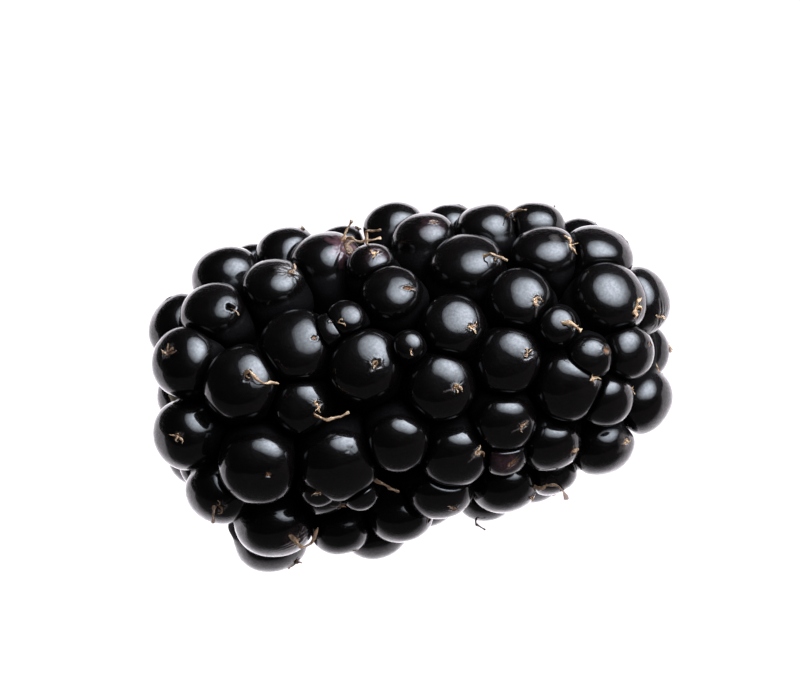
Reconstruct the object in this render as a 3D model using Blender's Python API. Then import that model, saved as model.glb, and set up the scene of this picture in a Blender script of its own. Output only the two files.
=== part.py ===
"""Bramble berry: one ripe fruit, as picked, lying on its side.

The fruit's long axis runs along X, from the picked end at -X to the tip at +X, and it rests on z = 0.
It grew as one piece, a close cluster of juicy drupelets round a receptacle, so the fruit is one solid.
The withered styles, dry threads left from the flower, stand on it as pieces of their own.
Lengths below are in millimetres and angles in degrees, and MM turns them into Blender's metres.
"""
import math

import bmesh
import bpy
import numpy as np
from mathutils import Vector

MM = 0.001

# The shell that the drupelets' middles lie on: a blunt barrel that tapers towards the tip.
SHELL_HALF = 15.2
SHELL_WAIST = 8.25
SHELL_BLUNTNESS = 9.0
SHELL_TAPER = 0.25
SHELL_ROUNDS = 6

# A drupelet: a round-shouldered dome, broad enough to meet its neighbours, that narrows inwards to
# its root. Its girth, height and root are shares of its radius, and the root's least depth is a length.
USUAL_RADIUS = 2.15
GIRTH = 1.1
TALLNESS = 1.08
ROOT_DEPTH = 1.15
ROOT_LEAST = 2.8
ROOT_PINCH = 0.45
SHOULDER = 2.35
FLUSH = 0.8
FANNING = 0.6
SIDES = 8
RINGS = 6

# The receptacle in the middle of the fruit, and its round end where the stalk came away.
RECEPTACLE_GAP = 0.15
RECEPTACLE_SIDES = 20
RECEPTACLE_RINGS = 12
RECEPTACLE_TIP = 1.5
PLUG_RADIUS = 2.3
PLUG_END = -15.6
PLUG_RIM = 0.6
PLUG_DISH = 0.4
PLUG_ROOM = 1.9

# How the fruit lies: its lowest drupelets are let down onto the ground and pressed a little flat.
PRESSED = 0.22
FOOT_SPREAD = 30.0
FOOT_STATION = 10.5
FOOT_REACH = 1.4

# Drupelets set by hand on the side that shows most:
# station along the axis, angle round it (0 faces -Y, 90 is up), radius, how far it stands proud.
PLANTED = (
    (-14.0, 118, 2.1, 0.0), (-13.5, 72, 2.2, 0.5), (-14.4, 31, 2.2, 0.3), (-13.6, -10, 2.05, -0.25),
    (-9.0, 150, 1.8, 0.4), (-10.5, 128, 2.2, 0.25), (-11.5, 94, 2.1, 0.0), (-10.5, 53, 2.3, 0.0),
    (-10.5, 12, 2.4, 0.0), (-10.5, -35, 2.5, 0.0), (-11.1, -62, 2.3, 1.05),
    (-6.5, 136, 2.1, 0.5), (-7.5, 101, 2.0, 0.0), (-6.5, 65, 2.3, 0.0), (-7.0, 37, 1.7, -1.0),
    (-7.0, -3, 1.1, -0.4), (-6.5, -45, 1.9, 0.3),
    (-3.0, 146, 1.8, 0.2), (-4.0, 118, 2.3, 0.0), (-3.1, 70, 1.2, 0.0), (-2.5, 50, 2.3, 0.0),
    (-5.5, 5, 2.6, 0.0), (-4.5, -10, 1.1, -0.3),
    (-1.0, 98, 1.5, 0.0), (0.0, 80, 1.9, 0.0), (0.5, 53, 0.9, 0.0), (-1.4, 13, 1.9, 0.0),
    (-2.5, -42, 2.1, 0.3), (-4.5, -62, 2.1, 1.3),
    (0.5, 143, 2.1, 0.95), (2.5, 122, 2.1, 0.2), (3.5, 60, 2.0, 0.0), (2.0, 34, 2.1, 0.0),
    (2.0, -3, 2.2, 0.0), (0.5, -25, 2.1, 0.0),
    (4.0, 145, 1.9, 0.7), (5.0, 96, 2.3, 0.0), (8.0, 69, 2.0, 0.0), (6.5, 39, 2.1, 0.0),
    (5.5, 9, 1.9, 0.0), (5.0, -8, 1.4, 0.0), (4.5, -38, 2.2, 0.4), (3.0, -57, 1.9, 0.5),
    (6.5, 126, 2.1, 0.45), (10.0, 99, 2.1, 0.0), (10.0, 51, 1.2, 0.0), (10.0, 19, 2.3, 0.0),
    (8.0, -14, 1.9, 0.0), (7.5, -42, 1.8, 0.2),
    (9.5, 130, 1.9, 0.4), (13.2, 107, 2.3, 0.0), (13.5, 67, 2.4, 0.05), (11.5, 32, 1.4, 0.0),
    (12.0, 4, 1.7, 0.0), (11.0, -38, 2.2, 0.25), (12.0, 156, 1.7, 0.0),
    (15.0, 95, 2.2, 0.1), (13.7, 27, 1.7, 0.0), (14.0, -42, 2.2, 0.0), (14.4, 244, 1.8, 0.0),
    (-4.3, 67, 1.1, -0.3), (-0.8, -59, 1.9, -0.2),
)

# The withered styles: thread radius, then the route as station, angle and distance from the axis.
STYLES = (
    (0.09, ((-9.6, 54, 10.6), (-9.3, 51, 10.4), (-8.9, 49, 10.2), (-8.4, 49, 9.9), (-8.0, 48, 9.7))),
    (0.09, ((-5.5, 31, 9.4), (-5.0, 31, 9.4), (-4.5, 31, 9.3), (-4.0, 32, 9.3))),
    (0.09, ((-2.1, 111, 10.0), (-1.7, 106, 10.1), (-1.2, 99, 10.6), (-0.6, 98, 10.7), (0.0, 99, 10.6))),
    (0.08, ((-0.9, 108, 10.4), (-0.5, 103, 10.8), (0.1, 101, 11.0))),
    (0.09, ((-2.4, 113, 10.1), (-2.1, 114, 10.5), (-1.7, 113, 11.0))),
    (0.10, ((-9.2, -22, 10.2), (-9.1, -25, 10.3), (-8.8, -28, 10.2), (-8.3, -29, 9.9), (-7.7, -21, 9.6))),
    (0.09, ((6.7, 87, 9.2), (7.1, 86, 9.1), (7.7, 83, 9.0))),
    (0.09, ((8.3, 117, 9.2), (8.8, 114, 9.4), (9.4, 110, 9.6))),
    (0.13, ((10.9, 50, 9.0), (11.2, 48, 8.8), (11.5, 46, 8.6))),
    (0.09, ((6.9, -30, 9.3), (7.2, -28, 9.3), (7.7, -26, 9.5), (8.1, -29, 9.7), (8.2, -46, 9.9))),
    (0.10, ((-2.8, -5, 9.1), (-2.5, -8, 9.1), (-2.1, -11, 9.1))),
    (0.09, ((-13.9, -3, 8.7), (-14.0, -5, 8.9), (-14.1, -6, 9.3))),
    (0.07, ((2.1, -51, 10.4), (2.3, -52, 10.6), (2.6, -52, 10.9))),
)
STYLE_CLEARANCE = 0.12
STYLE_STEPS = 3
STYLE_SIDES_LEVEL = 1

# The finishes.
SKIN_COLOUR = (0.008, 0.007, 0.011)
SKIN_ROUGHNESS = 0.2
STYLE_COLOUR = (0.42, 0.26, 0.13)
STYLE_ROUGHNESS = 0.75
GROUND_BLOCK = (60.0, 60.0, 10.0)

# The rest of the cluster fills itself in: first with drupelets of the usual radius, then with smaller
# ones that stay low in the gaps. Each pass has a radius, how far it stands proud, and how far it keeps
# from the middles of the drupelets set by hand.
FILLERS = (
    (2.15, 0.0, 0.0), (2.15, 0.0, 0.0), (2.15, 0.0, 0.0), (1.5, -1.0, 3.6), (1.1, -1.3, 3.6), (1.5, -1.6, 0.0),
)
SPIRAL_STEPS = 500
GOLDEN_ANGLE = math.pi * (3.0 - math.sqrt(5.0))
CROWDING = 0.88
EASING_ROUNDS = 30
EASING_SHARE = 0.3
SIZE_SWING = 0.12
SIZE_TURN = 2.4


def taper(x):
    return 1.0 - SHELL_TAPER * max(x, 0.0) / SHELL_HALF


def shell_level(p):
    """1 on the shell, less inside it and more outside it."""
    round_it = (p[1] ** 2 + p[2] ** 2) / (SHELL_WAIST * taper(p[0])) ** 2
    return abs(p[0] / SHELL_HALF) ** SHELL_BLUNTNESS + round_it


def shell_slope(p):
    """The gradient of shell_level, which points straight out of the shell."""
    x, y, z = p
    width = (SHELL_WAIST * taper(x)) ** 2
    along = SHELL_BLUNTNESS * abs(x / SHELL_HALF) ** (SHELL_BLUNTNESS - 1) / SHELL_HALF * np.sign(x)
    if x > 0:
        along += 2 * SHELL_TAPER / SHELL_HALF * (y * y + z * z) / (width * taper(x))
    return np.array((along, 2 * y / width, 2 * z / width))


def onto_shell(p):
    """The point of the shell near p."""
    for _ in range(SHELL_ROUNDS):
        slope = shell_slope(p)
        p = p - slope * (shell_level(p) - 1.0) / max(slope.dot(slope), 1e-6)
        p[0] = min(max(p[0], -SHELL_HALF), SHELL_HALF)
    return p


def outward(p):
    """The way a drupelet points: out of the shell, and at the ends fanned out from the axis as well."""
    slope = shell_slope(p)
    fanned = slope / np.linalg.norm(slope) + FANNING * np.array((0.0, p[1], p[2])) / SHELL_WAIST
    return fanned / np.linalg.norm(fanned)


def planted_place(station, angle):
    """The point of the shell at a station along the axis and an angle round it."""
    roundness = max(1.0 - abs(station / SHELL_HALF) ** SHELL_BLUNTNESS, 0.0) ** 0.5
    ring = SHELL_WAIST * taper(station) * roundness
    turn = math.radians(angle)
    return np.array((station, -ring * math.cos(turn), ring * math.sin(turn)))


def spiral_place(step):
    """A point of the shell on a golden-angle spiral from the picked end to the tip."""
    x = 2.0 * (step + 0.5) / SPIRAL_STEPS - 1.0
    ring = math.sqrt(1.0 - x * x)
    turn = step * GOLDEN_ANGLE
    p = np.array((SHELL_HALF * x, SHELL_WAIST * ring * math.cos(turn), SHELL_WAIST * ring * math.sin(turn)))
    return onto_shell(p)


def has_room(place, radius, places, radii):
    """True where a drupelet of this radius would not crowd those that are there, or the stalk's scar."""
    scar = np.array((-SHELL_HALF, 0.0, 0.0))
    if np.linalg.norm(place - scar) < PLUG_ROOM + radius:
        return False
    gaps = [np.linalg.norm(place - other) - CROWDING * (radius + r) for other, r in zip(places, radii)]
    return min(gaps) > 0.0


def eased(places, radii, settled):
    """The places after every drupelet past the settled ones has been nudged clear of its neighbours."""
    for _ in range(EASING_ROUNDS):
        for i in range(settled, len(places)):
            push = np.zeros(3)
            for j, other in enumerate(places):
                away = places[i] - other
                distance = np.linalg.norm(away)
                overlap = radii[i] + radii[j] - distance
                if i != j and overlap > 0.0:
                    push += away / distance * overlap * EASING_SHARE
            places[i] = onto_shell(places[i] + push)
    return places


def cluster():
    """Every drupelet as (middle, direction it points in, radius), in millimetres about the axis."""
    places = [planted_place(station, angle) for station, angle, _, _ in PLANTED]
    radii = [radius for _, _, radius, _ in PLANTED]
    proud = [rise for _, _, _, rise in PLANTED]
    for usual, rise, shyness in FILLERS:
        for step in range(SPIRAL_STEPS):
            radius = usual * (1.0 + SIZE_SWING * math.sin(SIZE_TURN * step))
            place = spiral_place(step)
            nearest = min(np.linalg.norm(place - planted) for planted in places[:len(PLANTED)])
            if nearest > shyness and has_room(place, radius, places, radii):
                places.append(place)
                radii.append(radius)
                proud.append(rise)
        places = eased(places, radii, len(PLANTED))
    drupelets = []
    for place, radius, rise in zip(places, radii, proud):
        out = outward(place)
        lift = rise + (USUAL_RADIUS - radius) * TALLNESS * FLUSH
        drupelets.append((place + out * lift, out, radius))
    return drupelets


def lowest_z(drupelet):
    middle, out, radius = drupelet
    return middle[2] - radius * math.sqrt(GIRTH ** 2 + (TALLNESS ** 2 - GIRTH ** 2) * out[2] ** 2)


def bedded(drupelets):
    """The cluster lifted to lie on z = 0, with the drupelets near the ground let down onto it."""
    ground = min(lowest_z(d) for d in drupelets) + PRESSED
    lying = []
    for middle, out, radius in drupelets:
        middle = middle - np.array((0.0, 0.0, ground))
        sideways = math.degrees(math.atan2(abs(out[1]), -out[2]))
        height = lowest_z((middle, out, radius))
        if sideways < FOOT_SPREAD and abs(middle[0]) < FOOT_STATION and height < FOOT_REACH:
            middle = middle - np.array((0.0, 0.0, height + PRESSED))
        lying.append((middle, out, radius))
    return lying


def drupelet_mesh(middle, out, radius):
    """One drupelet: a sphere reshaped to a round-shouldered dome whose inner half narrows to its root."""
    mesh = bmesh.new()
    bmesh.ops.create_uvsphere(mesh, u_segments=SIDES, v_segments=RINGS, radius=1.0)
    turn = Vector((0.0, 0.0, 1.0)).rotation_difference(Vector(out))
    for vertex in mesh.verts:
        x, y, z = vertex.co
        if z >= 0.0:
            swell = (math.hypot(x, y) ** SHOULDER + z ** SHOULDER) ** (-1.0 / SHOULDER)
            shape = Vector((x * swell * GIRTH, y * swell * GIRTH, z * swell * TALLNESS))
        else:
            pinch = GIRTH * (1.0 - ROOT_PINCH * z * z)
            shape = Vector((x * pinch, y * pinch, z * max(ROOT_DEPTH, ROOT_LEAST / radius)))
        vertex.co = (turn @ (shape * radius) + Vector(middle)) * MM
    return mesh


def receptacle_profile():
    """Station and radius down the receptacle, from the dish where the stalk came away to the tip."""
    profile = [(PLUG_END + PLUG_DISH, 0.0), (PLUG_END, PLUG_RADIUS - PLUG_RIM), (PLUG_END, PLUG_RADIUS)]
    half = SHELL_HALF - RECEPTACLE_GAP
    for ring in range(RECEPTACLE_RINGS + 1):
        share = math.sin(math.pi * (ring / RECEPTACLE_RINGS - 0.5))
        width = (SHELL_WAIST - RECEPTACLE_GAP) * (1.0 - abs(share) ** SHELL_BLUNTNESS) ** 0.5
        profile.append((share * half, max(width * taper(share * half), RECEPTACLE_TIP)))
    profile[3] = (-half, PLUG_RADIUS)
    profile.append((half, 0.0))
    return profile


def receptacle_mesh(lift):
    """The fleshy heart that the drupelets grow from, turned about the long axis."""
    mesh = bmesh.new()
    rings = []
    for station, radius in receptacle_profile():
        sides = RECEPTACLE_SIDES if radius else 1
        turns = [2.0 * math.pi * side / RECEPTACLE_SIDES for side in range(sides)]
        ring = [(station, radius * math.cos(turn), radius * math.sin(turn) + lift) for turn in turns]
        rings.append([mesh.verts.new(Vector(place) * MM) for place in ring])
    for near, far in zip(rings, rings[1:]):
        for side in range(RECEPTACLE_SIDES):
            after = (side + 1) % RECEPTACLE_SIDES
            if len(near) == 1:
                mesh.faces.new((near[0], far[side], far[after]))
            elif len(far) == 1:
                mesh.faces.new((near[side], far[0], near[after]))
            else:
                mesh.faces.new((near[side], far[side], far[after], near[after]))
    return mesh


def new_object(name, mesh, collection, material=None):
    data = bpy.data.meshes.new(name)
    mesh.to_mesh(data)
    mesh.free()
    data.shade_smooth()
    thing = bpy.data.objects.new(name, data)
    if material:
        data.materials.append(material)
    collection.objects.link(thing)
    return thing


def as_cutter(thing):
    thing.hide_render = True
    thing.display_type = "WIRE"


def new_collection(name):
    collection = bpy.data.collections.new(name)
    bpy.context.scene.collection.children.link(collection)
    return collection


def new_material(name, colour, roughness):
    material = bpy.data.materials.new(name)
    material.use_nodes = True
    shader = material.node_tree.nodes["Principled BSDF"]
    shader.inputs["Base Color"].default_value = (*colour, 1.0)
    shader.inputs["Roughness"].default_value = roughness
    shader.inputs["Metallic"].default_value = 0.0
    return material


def make_berry(drupelets, lift, fruit, shapes):
    """The fruit: receptacle and drupelets in one solid, trimmed flat where it rests."""
    skin = new_material("ripe_skin", SKIN_COLOUR, SKIN_ROUGHNESS)
    berry = new_object("berry", receptacle_mesh(lift), fruit, skin)
    for number, drupelet in enumerate(drupelets, start=1):
        as_cutter(new_object(f"drupelet_{number}", drupelet_mesh(*drupelet), shapes))
    union = berry.modifiers.new("drupelets", "BOOLEAN")
    union.operation = "UNION"
    union.operand_type = "COLLECTION"
    union.collection = shapes
    return berry


def trim_on_ground(berry, cutters):
    """Cuts off what would sink below z = 0, which leaves a small flat foot on each lowest drupelet."""
    block = bmesh.new()
    bmesh.ops.create_cube(block, size=1.0)
    size = Vector(GROUND_BLOCK) * MM
    for vertex in block.verts:
        vertex.co = Vector(c * s for c, s in zip(vertex.co, size)) - Vector((0.0, 0.0, size.z / 2))
    ground = new_object("ground_block", block, cutters)
    as_cutter(ground)
    trim = berry.modifiers.new("feet", "BOOLEAN")
    trim.operation = "DIFFERENCE"
    trim.object = ground


def clear_of(point, drupelets, gap):
    """The point, moved out of any drupelet that it is closer to than the gap."""
    for middle, out, radius in drupelets:
        away = point - middle
        along = away.dot(out)
        across = np.linalg.norm(away - along * out) / GIRTH
        level = (across ** SHOULDER + abs(along / TALLNESS) ** SHOULDER) ** (1.0 / SHOULDER) / radius
        wanted = 1.0 + gap / radius
        if level < wanted:
            point = middle + away * wanted / level
    return point


def through(before, start, end, after, t):
    """A point of the smooth curve from start to end, at t from 0 to 1."""
    return 0.5 * (
        2.0 * start
        + (end - before) * t
        + (2.0 * before - 5.0 * start + 4.0 * end - after) * t ** 2
        + (3.0 * start - before - 3.0 * end + after) * t ** 3
    )


def style_route(route, lift, drupelets, gap):
    """Points along a withered style, read from a smooth curve through its route and kept off the fruit."""
    knots = []
    for station, angle, reach in route:
        turn = math.radians(angle)
        knots.append(np.array((station, -reach * math.cos(turn), reach * math.sin(turn) + lift)))
    padded = [knots[0], *knots, knots[-1]]
    points = []
    for before, start, end, after in zip(padded, padded[1:], padded[2:], padded[3:]):
        points += [through(before, start, end, after, step / STYLE_STEPS) for step in range(STYLE_STEPS)]
    return [clear_of(point, drupelets, gap) for point in [*points, knots[-1]]]


def make_style(number, radius, route, lift, drupelets, fruit, material):
    """A withered style: a thin dry thread that stands a little off the skin."""
    curve = bpy.data.curves.new(f"dried_style_{number}", "CURVE")
    curve.dimensions = "3D"
    curve.bevel_depth = radius * MM
    curve.bevel_resolution = STYLE_SIDES_LEVEL
    curve.use_fill_caps = True
    points = style_route(route, lift, drupelets, radius + STYLE_CLEARANCE)
    spline = curve.splines.new("POLY")
    spline.points.add(len(points) - 1)
    for place, point in zip(spline.points, points):
        place.co = (*(Vector(point) * MM), 1.0)
    curve.materials.append(material)
    thread = bpy.data.objects.new(f"dried_style_{number}", curve)
    fruit.objects.link(thread)


def centre_on_origin(shapes):
    """Moves everything so that the fruit's length and width are centred on the origin."""
    places = [vertex.co for shape in shapes.objects for vertex in shape.data.vertices]
    for axis in (0, 1):
        across = [place[axis] for place in places]
        for thing in bpy.data.objects:
            thing.location[axis] = -(min(across) + max(across)) / 2


def main():
    for thing in list(bpy.data.objects):
        bpy.data.objects.remove(thing)
    fruit = new_collection("bramble_berry")
    shapes = new_collection("drupelet_shapes")
    cutters = new_collection("cutters")
    cluster_about_axis = cluster()
    drupelets = bedded(cluster_about_axis)
    lift = drupelets[0][0][2] - cluster_about_axis[0][0][2]
    berry = make_berry(drupelets, lift, fruit, shapes)
    trim_on_ground(berry, cutters)
    dry = new_material("dried_style", STYLE_COLOUR, STYLE_ROUGHNESS)
    for number, (radius, route) in enumerate(STYLES, start=1):
        make_style(number, radius, route, lift, drupelets, fruit, dry)
    centre_on_origin(shapes)


main()
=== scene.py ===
# %% [markdown]
# # A bramble berry
# A ripe bramble berry is a cluster of about a hundred drupelets: small juicy domes that share one fleshy
# heart, the receptacle. Each drupelet once carried a style, and its dry stub still sits on the skin.
# The lesson builds every drupelet as its own piece, because what makes the fruit look real is how each
# one differs: its size, its dent, its scar, and where its neighbours press it.

# %% Load the measured solids
import math
from collections import namedtuple

import bpy
import numpy as np
from mathutils import Matrix, Vector, noise


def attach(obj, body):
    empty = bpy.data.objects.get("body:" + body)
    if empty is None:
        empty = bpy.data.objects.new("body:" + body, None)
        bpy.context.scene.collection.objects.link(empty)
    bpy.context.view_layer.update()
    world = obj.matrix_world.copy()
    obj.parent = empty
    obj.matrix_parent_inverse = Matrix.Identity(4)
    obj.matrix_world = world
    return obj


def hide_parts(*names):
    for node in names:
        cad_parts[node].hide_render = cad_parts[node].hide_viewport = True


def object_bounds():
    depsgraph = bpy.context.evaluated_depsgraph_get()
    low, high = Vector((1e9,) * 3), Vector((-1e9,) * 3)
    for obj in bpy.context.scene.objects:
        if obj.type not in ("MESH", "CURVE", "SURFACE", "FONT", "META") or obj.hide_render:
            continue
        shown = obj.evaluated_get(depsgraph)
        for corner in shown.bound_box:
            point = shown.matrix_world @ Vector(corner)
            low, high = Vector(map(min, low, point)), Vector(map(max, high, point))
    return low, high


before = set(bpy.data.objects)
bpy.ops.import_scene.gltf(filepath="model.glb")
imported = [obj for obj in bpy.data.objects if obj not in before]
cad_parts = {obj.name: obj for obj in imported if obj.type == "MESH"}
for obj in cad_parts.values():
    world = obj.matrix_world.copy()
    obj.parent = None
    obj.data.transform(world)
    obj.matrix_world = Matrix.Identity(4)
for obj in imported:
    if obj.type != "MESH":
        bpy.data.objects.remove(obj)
solid_low, solid_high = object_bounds()
MM = 0.001
print("solids:", sorted(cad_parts))
print("box, mm:", [round(side / MM, 1) for side in solid_high - solid_low])

# %% [markdown]
# ## Where the drupelets sit
# On the real fruit the drupelets grow on the receptacle, which has the shape of a blunt barrel. A shell of
# that shape can be written as one formula that is 1 on its surface. Drupelets could be spread over it by a
# physics simulation, but a formula and a short list give the same fruit each time. The list sets the
# drupelets on the side that is looked at most, and a golden-angle spiral fills in the rest.

# %% The shell
SHELL_HALF = 15.2
SHELL_WAIST = 8.25
SHELL_BLUNTNESS = 9.0
SHELL_TAPER = 0.25


def taper(x):
    return 1.0 - SHELL_TAPER * max(x, 0.0) / SHELL_HALF


def shell_level(p):
    roundness = (p[1] ** 2 + p[2] ** 2) / (SHELL_WAIST * taper(p[0])) ** 2
    return abs(p[0] / SHELL_HALF) ** SHELL_BLUNTNESS + roundness


def shell_slope(p):
    x, y, z = p
    width = (SHELL_WAIST * taper(x)) ** 2
    along = SHELL_BLUNTNESS * abs(x / SHELL_HALF) ** (SHELL_BLUNTNESS - 1) / SHELL_HALF * np.sign(x)
    if x > 0:
        along += 2 * SHELL_TAPER / SHELL_HALF * (y * y + z * z) / (width * taper(x))
    return np.array((along, 2 * y / width, 2 * z / width))


def onto_shell(p):
    for _ in range(6):
        slope = shell_slope(p)
        p = p - slope * (shell_level(p) - 1.0) / max(slope.dot(slope), 1e-6)
        p[0] = min(max(p[0], -SHELL_HALF), SHELL_HALF)
    return p


def shell_ring(station):
    roundness = max(1.0 - abs(station / SHELL_HALF) ** SHELL_BLUNTNESS, 0.0) ** 0.5
    return SHELL_WAIST * taper(station) * roundness


print("shell radius at the waist and near the tip, mm:", shell_ring(0.0), round(shell_ring(14.0), 2))

# %% Drupelets given one by one
# Station along the axis, angle round it (0 faces -Y, 90 is up), radius, how far it stands proud.
PLANTED = (
    (-14.0, 118, 2.1, 0.0), (-13.5, 72, 2.2, 0.5), (-14.4, 31, 2.2, 0.3), (-13.6, -10, 2.05, -0.25),
    (-9.0, 150, 1.8, 0.4), (-10.5, 128, 2.2, 0.25), (-11.5, 94, 2.1, 0.0), (-10.5, 53, 2.3, 0.0),
    (-10.5, 12, 2.4, 0.0), (-10.5, -35, 2.5, 0.0), (-11.1, -62, 2.3, 1.05),
    (-6.5, 136, 2.1, 0.5), (-7.5, 101, 2.0, 0.0), (-6.5, 65, 2.3, 0.0), (-7.0, 37, 1.7, -1.0),
    (-7.0, -3, 1.1, -0.4), (-6.5, -45, 1.9, 0.3),
    (-3.0, 146, 1.8, 0.2), (-4.0, 118, 2.3, 0.0), (-3.1, 70, 1.2, 0.0), (-2.5, 50, 2.3, 0.0),
    (-5.5, 5, 2.6, 0.0), (-4.5, -10, 1.1, -0.3),
    (-1.0, 98, 1.5, 0.0), (0.0, 80, 1.9, 0.0), (0.5, 53, 0.9, 0.0), (-1.4, 13, 1.9, 0.0),
    (-2.5, -42, 2.1, 0.3), (-4.5, -62, 2.1, 1.3),
    (0.5, 143, 2.1, 0.95), (2.5, 122, 2.1, 0.2), (3.5, 60, 2.0, 0.0), (2.0, 34, 2.1, 0.0),
    (2.0, -3, 2.2, 0.0), (0.5, -25, 2.1, 0.0),
    (4.0, 145, 1.9, 0.7), (5.0, 96, 2.3, 0.0), (8.0, 69, 2.0, 0.0), (6.5, 39, 2.1, 0.0),
    (5.5, 9, 1.9, 0.0), (5.0, -8, 1.4, 0.0), (4.5, -38, 2.2, 0.4), (3.0, -57, 1.9, 0.5),
    (6.5, 126, 2.1, 0.45), (10.0, 99, 2.1, 0.0), (10.0, 51, 1.2, 0.0), (10.0, 19, 2.3, 0.0),
    (8.0, -14, 1.9, 0.0), (7.5, -42, 1.8, 0.2),
    (9.5, 130, 1.9, 0.4), (13.2, 107, 2.3, 0.0), (13.5, 67, 2.4, 0.05), (11.5, 32, 1.4, 0.0),
    (12.0, 4, 1.7, 0.0), (11.0, -38, 2.2, 0.25), (12.0, 156, 1.7, 0.0),
    (15.0, 95, 2.2, 0.1), (13.7, 27, 1.7, 0.0), (14.0, -42, 2.2, 0.0), (14.4, 244, 1.8, 0.0),
    (-4.3, 67, 1.1, -0.3), (-0.8, -59, 1.9, -0.2),
)
print("set by hand:", len(PLANTED))

# %% The rest of the cluster
USUAL_RADIUS = 2.15
TALLNESS = 1.08
FLUSH = 0.8
FANNING = 0.6
PLUG_ROOM = 1.9
FILLERS = (
    (2.15, 0.0, 0.0), (2.15, 0.0, 0.0), (2.15, 0.0, 0.0),
    (1.5, -1.0, 3.6), (1.1, -1.3, 3.6), (1.5, -1.6, 0.0),
)
SPIRAL_STEPS = 500
GOLDEN_ANGLE = math.pi * (3.0 - math.sqrt(5.0))
CROWDING = 0.88
EASING_ROUNDS = 30
SIZE_SWING = 0.12
SIZE_TURN = 2.4


def spiral_place(step):
    x = 2.0 * (step + 0.5) / SPIRAL_STEPS - 1.0
    ring = math.sqrt(1.0 - x * x)
    turn = step * GOLDEN_ANGLE
    p = np.array((SHELL_HALF * x, SHELL_WAIST * ring * math.cos(turn), SHELL_WAIST * ring * math.sin(turn)))
    return onto_shell(p)


def has_room(place, radius, places, radii):
    scar = np.array((-SHELL_HALF, 0.0, 0.0))
    if np.linalg.norm(place - scar) < PLUG_ROOM + radius:
        return False
    return min(np.linalg.norm(place - p) - CROWDING * (radius + r) for p, r in zip(places, radii)) > 0.0


def eased(places, radii, settled):
    for _ in range(EASING_ROUNDS):
        for i in range(settled, len(places)):
            push = np.zeros(3)
            for j, other in enumerate(places):
                away = places[i] - other
                distance = np.linalg.norm(away)
                overlap = radii[i] + radii[j] - distance
                if i != j and overlap > 0.0:
                    push += away / distance * overlap * 0.3
            places[i] = onto_shell(places[i] + push)
    return places


def cluster():
    places, radii, proud = [], [], []
    for station, angle, radius, rise in PLANTED:
        turn = math.radians(angle)
        ring = shell_ring(station)
        places.append(np.array((station, -ring * math.cos(turn), ring * math.sin(turn))))
        radii.append(radius)
        proud.append(rise)
    for usual, rise, shyness in FILLERS:
        for step in range(SPIRAL_STEPS):
            radius = usual * (1.0 + SIZE_SWING * math.sin(SIZE_TURN * step))
            place = spiral_place(step)
            nearest = min(np.linalg.norm(place - planted) for planted in places[:len(PLANTED)])
            if nearest > shyness and has_room(place, radius, places, radii):
                places.append(place)
                radii.append(radius)
                proud.append(rise)
        places = eased(places, radii, len(PLANTED))
    return places, radii, proud


places, radii, proud = cluster()
print("drupelets:", len(places))

# %% [markdown]
# A drupelet points straight out of the shell, and near the ends it also fans out from the axis. A small one
# is lifted until its crown is nearly flush with the rest. The fruit then lies down: the lowest drupelets
# take its weight, so each of them ends in a small flat patch at z = 0.

# %% Lay the cluster on the ground
GIRTH = 1.1
PRESSED = 0.22
FOOT_SPREAD = 30.0
FOOT_STATION = 10.5
FOOT_REACH = 1.4


def outward(p):
    slope = shell_slope(p)
    fanned = slope / np.linalg.norm(slope) + FANNING * np.array((0.0, p[1], p[2])) / SHELL_WAIST
    return fanned / np.linalg.norm(fanned)


def reach_towards(out, radius, axis):
    """How far a drupelet reaches from its middle along one of the world's axes."""
    return radius * math.sqrt(GIRTH ** 2 + (TALLNESS ** 2 - GIRTH ** 2) * out[axis] ** 2)


outs = [outward(place) for place in places]
middles = [
    place + out * (rise + (USUAL_RADIUS - radius) * TALLNESS * FLUSH)
    for place, out, radius, rise in zip(places, outs, radii, proud)
]
lowest = [middle[2] - reach_towards(out, radius, 2) for middle, out, radius in zip(middles, outs, radii)]
axis_height = -(min(lowest) + PRESSED)
for number, (middle, out) in enumerate(zip(middles, outs)):
    middle[2] += axis_height
    height = lowest[number] + axis_height
    sideways = math.degrees(math.atan2(abs(out[1]), -out[2]))
    if sideways < FOOT_SPREAD and abs(middle[0]) < FOOT_STATION and height < FOOT_REACH:
        middle[2] -= height + PRESSED

centring = np.zeros(3)
for axis in (0, 1):
    reaches = [reach_towards(out, radius, axis) for out, radius in zip(outs, radii)]
    near_end = min(middle[axis] - reach for middle, reach in zip(middles, reaches))
    far_end = max(middle[axis] + reach for middle, reach in zip(middles, reaches))
    centring[axis] = (solid_low[axis] + solid_high[axis]) / 2 / MM - (near_end + far_end) / 2
middles = [middle + centring for middle in middles]
print("axis height, mm:", round(axis_height, 2), "centring, mm:", centring.round(3))

# %% [markdown]
# ## The camera, the floor and the light
# A berry on a white table under one large softbox. The softbox hangs above and to the right, so every crown
# carries one soft patch of light. The white table lights the skin from below and draws the bright thin
# crescents along the lower rims. The table glows a little so that it stays plain white with no shadow, and
# its reflection is dark on the near side, as if a black card lay there, so that the crescents stay thin.

# %% Camera
VIEW_BACK = Vector((0.0518, -0.7413, 0.6691))
VIEW_RIGHT = Vector((0.9796, -0.0926, -0.1785))
VIEW_UP = Vector((0.1943, 0.6647, 0.7214))
LENS = 400.0
FRAME_WIDTH = 51.7

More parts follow.
